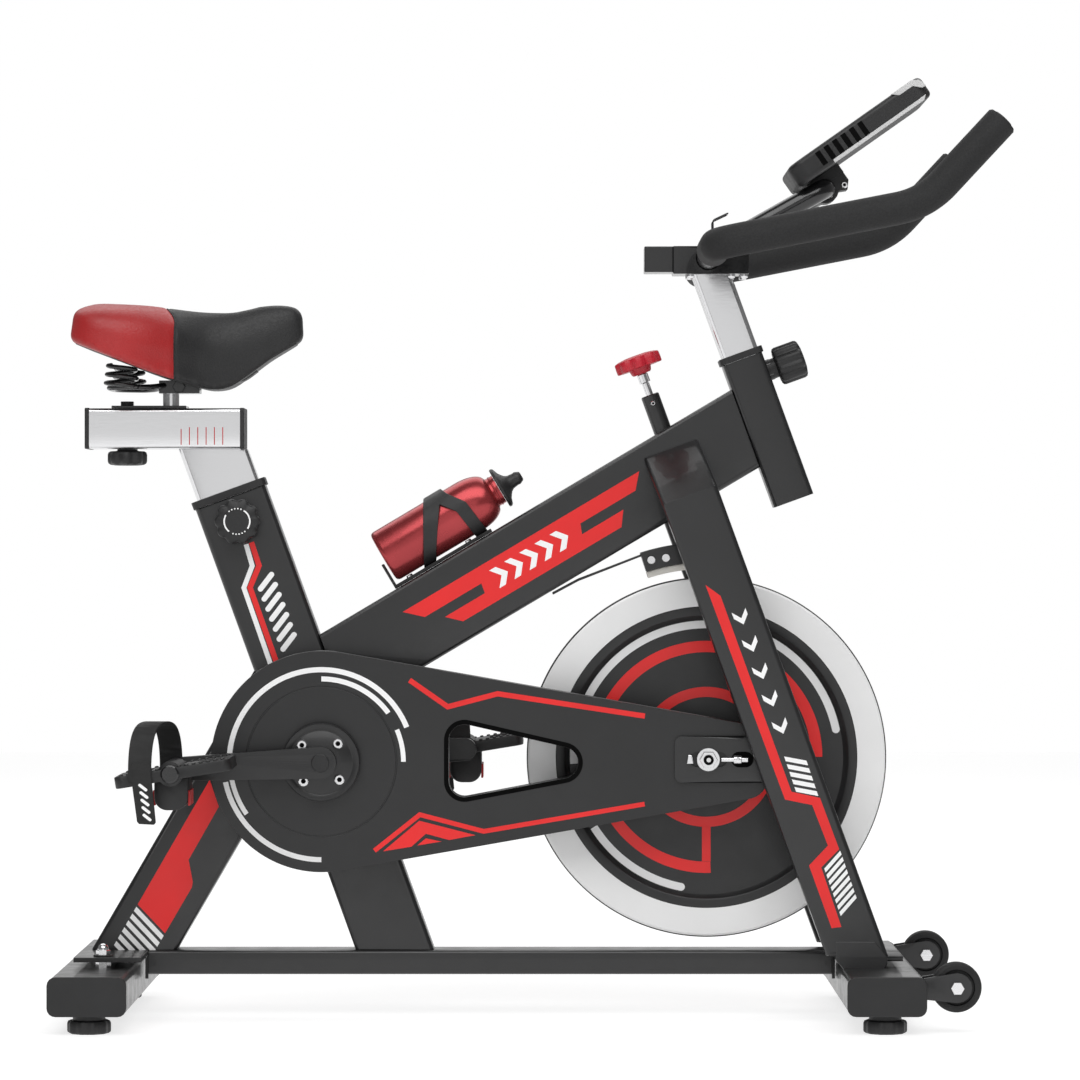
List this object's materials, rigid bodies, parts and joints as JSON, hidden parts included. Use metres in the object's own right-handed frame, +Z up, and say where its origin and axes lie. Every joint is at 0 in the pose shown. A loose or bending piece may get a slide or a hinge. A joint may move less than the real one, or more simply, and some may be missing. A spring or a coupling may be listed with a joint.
{
  "type": "indoor spin bike",
  "caption": "Upright indoor cycle: stabiliser bars, sloping tube frame, covered belt drive to a front flywheel, sprung saddle, bullhorn handlebar, console and bottle.",
  "frame": {"origin": "centre of the outline on the floor", "axes": "+Z up, +X the way the rider faces, -Y the drive side"},
  "size_m": [1.0015, 0.558, 1.0127],
  "materials": {
    "frame_paint": "satin",
    "crank_paint": "satin",
    "bar_paint": "satin",
    "black_plastic": "matt",
    "cover_plastic": "satin",
    "chrome": "polished",
    "steel": "satin",
    "wheel_iron": "painted",
    "rubber": "matt",
    "foam": "matt",
    "felt": "matt",
    "red_knob": "satin",
    "red_metal": "gloss",
    "saddle_skin": "matt"
  },
  "bodies": {
    "frame": {"stabiliser_tube_rear": "frame_paint", "stabiliser_tube_front": "frame_paint", "end_cap_rear_right": "black_plastic", "end_cap_front_right": "black_plastic", "fork_leg_right": "frame_paint", "end_cap_rear_left": "black_plastic", "end_cap_front_left": "black_plastic", "fork_leg_left": "frame_paint", "bracket_rear": "frame_paint", "bracket_front": "frame_paint", "base_rail": "frame_paint", "rear_leg": "frame_paint", "seat_tube": "frame_paint", "seat_collar": "black_plastic", "head_tube": "frame_paint", "head_collar": "black_plastic", "main_beam": "frame_paint", "flywheel_axle": "steel", "belt": "rubber", "cover_outer": "cover_plastic", "cover_inner": "cover_plastic", "brake_tube": "frame_paint", "bottle_cage": "black_plastic"},
    "flywheel": {"flywheel": "wheel_iron", "driven_pulley": "steel"},
    "cranks": {"crank_axle": "steel", "crank_arm_right": "crank_paint", "crank_arm_left": "crank_paint", "drive_pulley": "black_plastic"},
    "pedal_right": {"pedal_right": "black_plastic", "pedal_strap_right": "rubber"},
    "pedal_left": {"pedal_left": "black_plastic", "pedal_strap_left": "rubber"},
    "seat_post": {"seat_post": "chrome", "slider_tube": "chrome"},
    "saddle": {"saddle_carriage": "black_plastic", "saddle": "saddle_skin", "saddle_pan": "black_plastic"},
    "slider_knob": {"slider_knob": "black_plastic"},
    "seat_pin": {"seat_pin_knob": "black_plastic"},
    "handlebar_pin": {"handlebar_pin_knob": "black_plastic"},
    "handlebar": {"handlebar_post": "chrome", "stem_bracket": "bar_paint", "handlebar": "bar_paint", "grip_right": "foam", "grip_left": "foam"},
    "console": {"console": "black_plastic", "console_clamp": "black_plastic"},
    "brake_rod": {"brake_rod": "chrome"},
    "brake_knob": {"brake_knob": "red_knob"},
    "brake_arm": {"brake_arm": "frame_paint", "brake_pad": "felt"},
    "bottle": {"bottle": "red_metal", "bottle_cap": "black_plastic"},
    "transport_wheel_right": {"transport_wheel_right": "rubber"},
    "foot_rear_right": {"foot_rear_right": "black_plastic"},
    "foot_front_right": {"foot_front_right": "black_plastic"},
    "transport_wheel_left": {"transport_wheel_left": "rubber"},
    "foot_rear_left": {"foot_rear_left": "black_plastic"},
    "foot_front_left": {"foot_front_left": "black_plastic"}
  },
  "joints": [
    {"name": "flywheel_spin", "type": "hinge", "parent": "frame", "child": "flywheel", "pos_m": [0.1931, 0, 0.2806], "axis": [0, 1, 0], "continuous": true},
    {"name": "crank_spin", "type": "hinge", "parent": "frame", "child": "cranks", "pos_m": [-0.2221, 0, 0.278], "axis": [0, 1, 0], "continuous": true},
    {"name": "pedal_right_spin", "type": "hinge", "parent": "cranks", "child": "pedal_right", "pos_m": [-0.37396, -0.148, 0.27137], "axis": [0, 1, 0], "continuous": true},
    {"name": "transport_wheel_right_spin", "type": "hinge", "parent": "frame", "child": "transport_wheel_right", "pos_m": [0.4476, -0.187, 0.0488], "axis": [0, 1, 0], "continuous": true},
    {"name": "foot_rear_right_turn", "type": "hinge", "parent": "frame", "child": "foot_rear_right", "pos_m": [-0.4594, -0.18, 0.01], "axis": [0, 0, 1], "range_deg": [-360, 360]},
    {"name": "foot_front_right_turn", "type": "hinge", "parent": "frame", "child": "foot_front_right", "pos_m": [0.374, -0.18, 0.01], "axis": [0, 0, 1], "range_deg": [-360, 360]},
    {"name": "pedal_left_spin", "type": "hinge", "parent": "cranks", "child": "pedal_left", "pos_m": [-0.07024, 0.148, 0.28463], "axis": [0, 1, 0], "continuous": true},
    {"name": "transport_wheel_left_spin", "type": "hinge", "parent": "frame", "child": "transport_wheel_left", "pos_m": [0.4476, 0.187, 0.0488], "axis": [0, 1, 0], "continuous": true},
    {"name": "foot_rear_left_turn", "type": "hinge", "parent": "frame", "child": "foot_rear_left", "pos_m": [-0.4594, 0.18, 0.01], "axis": [0, 0, 1], "range_deg": [-360, 360]},
    {"name": "foot_front_left_turn", "type": "hinge", "parent": "frame", "child": "foot_front_left", "pos_m": [0.374, 0.18, 0.01], "axis": [0, 0, 1], "range_deg": [-360, 360]},
    {"name": "seat_height", "type": "slide", "parent": "frame", "child": "seat_post", "axis": [-0.342, 0, 0.9397], "range_m": [-0.02, 0.1]},
    {"name": "saddle_fore_aft", "type": "slide", "parent": "seat_post", "child": "saddle", "axis": [1, 0, 0], "range_m": [-0.015, 0.03]},
    {"name": "slider_knob_turn", "type": "hinge", "parent": "saddle", "child": "slider_knob", "pos_m": [-0.4359, 0, 0.606], "axis": [0, 0, 1], "range_deg": [-360, 360]},
    {"name": "seat_pin_pull", "type": "slide", "parent": "frame", "child": "seat_pin", "axis": [0, -1, 0], "range_m": [0, 0.008], "stiffness_N_per_m": 1500, "springref_m": -0.005},
    {"name": "handlebar_height", "type": "slide", "parent": "frame", "child": "handlebar", "axis": [-0.342, 0, 0.9397], "range_m": [-0.05, 0.05]},
    {"name": "handlebar_pin_pull", "type": "slide", "parent": "frame", "child": "handlebar_pin", "axis": [0.9397, 0, 0.342], "range_m": [0, 0.008], "stiffness_N_per_m": 1500, "springref_m": -0.005},
    {"name": "console_tilt", "type": "hinge", "parent": "handlebar", "child": "console", "pos_m": [0.3216, 0, 0.896], "axis": [0, 1, 0], "range_deg": [-4, 20]},
    {"name": "brake_push", "type": "slide", "parent": "frame", "child": "brake_rod", "axis": [0.342, 0, -0.9397], "range_m": [0, 0.008], "stiffness_N_per_m": 900, "springref_m": -0.012},
    {"name": "brake_knob_turn", "type": "hinge", "parent": "brake_rod", "child": "brake_knob", "pos_m": [0.1319, 0, 0.6736], "axis": [-0.342, 0, 0.9397], "range_deg": [-720, 720]},
    {"name": "brake_arm_swing", "type": "hinge", "parent": "frame", "child": "brake_arm", "pos_m": [0.0256, 0, 0.4583], "axis": [0, 1, 0], "range_deg": [0, 2.8]},
    {"name": "bottle_pull", "type": "slide", "parent": "frame", "child": "bottle", "axis": [0.8594, 0, 0.5113], "range_m": [0, 0.1]}
  ],
  "couplings": [
    {"joint": "crank_spin", "follows": "flywheel_spin", "ratio": 0.3296},
    {"joint": "brake_arm_swing", "follows": "brake_push", "rad_per_m": 5.78}
  ]
}
